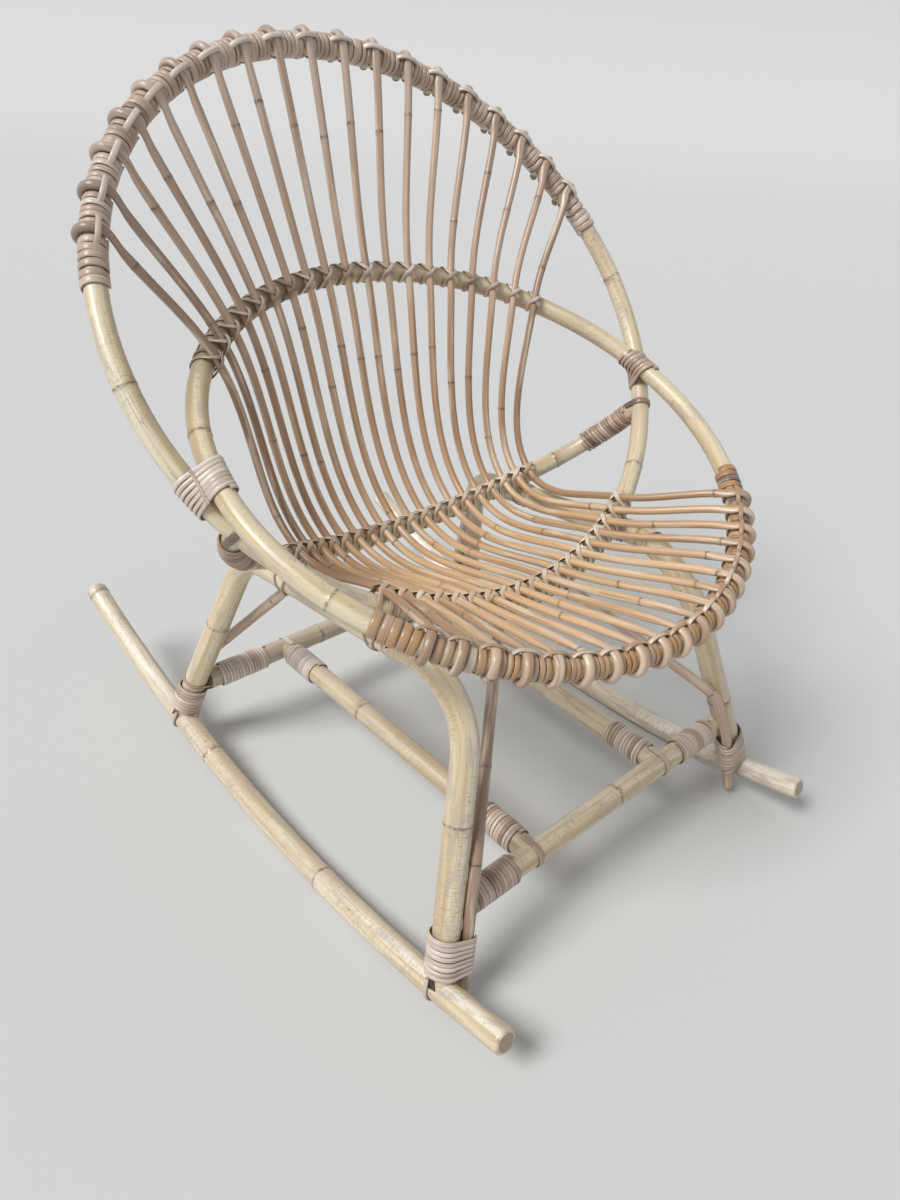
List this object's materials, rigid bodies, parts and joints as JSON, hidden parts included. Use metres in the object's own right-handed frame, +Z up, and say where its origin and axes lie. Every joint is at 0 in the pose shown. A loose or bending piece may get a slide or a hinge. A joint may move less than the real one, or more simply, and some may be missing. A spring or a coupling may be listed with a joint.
{
  "type": "rattan rocking chair",
  "caption": "Rocking chair of bent rattan poles: two crossing hoops hold a bucket of thin rods curled round the rims, on leg arches, stretchers and curved rockers, bound with cane.",
  "frame": {"origin": "on the floor under the rockers, midway between them and midway along their length", "axes": "+Z up, -Y the way that the chair faces, X across it; left and right in the node names are as seen by someone who looks at its front, so left is -X"},
  "size_m": [0.7139, 0.8666, 0.8451],
  "materials": {
    "pole": "satin",
    "rod": "satin",
    "cane": "satin"
  },
  "bodies": {
    "root": {"arch_ties": "cane", "back_hoop": "pole", "cross_stretcher_wraps": "cane", "crossing_lashings": "cane", "foot_lashings": "cane", "front_left_brace": "pole", "front_right_brace": "pole", "front_rim_wrap": "cane", "front_stretcher": "pole", "left_leg_arch": "pole", "left_long_stretcher": "pole", "left_rocker": "pole", "long_stretcher_wraps": "cane", "low_bar_ties": "cane", "mid_back_ties": "cane", "rear_left_brace": "pole", "rear_right_brace": "pole", "rear_stretcher": "pole", "right_leg_arch": "pole", "right_long_stretcher": "pole", "right_rocker": "pole", "rod_01": "rod", "rod_02": "rod", "rod_03": "rod", "rod_04": "rod", "rod_05": "rod", "rod_06": "rod", "rod_07": "rod", "rod_08": "rod", "rod_09": "rod", "rod_10": "rod", "rod_11": "rod", "rod_12": "rod", "rod_13": "rod", "rod_14": "rod", "rod_15": "rod", "rod_16": "rod", "rod_17": "rod", "rod_18": "rod", "rod_19": "rod", "seat_hoop": "pole", "seat_rail": "pole", "seat_rail_end_wraps": "cane", "seat_rail_ties": "cane", "top_rim_wrap": "cane"}
  },
  "joints": []
}
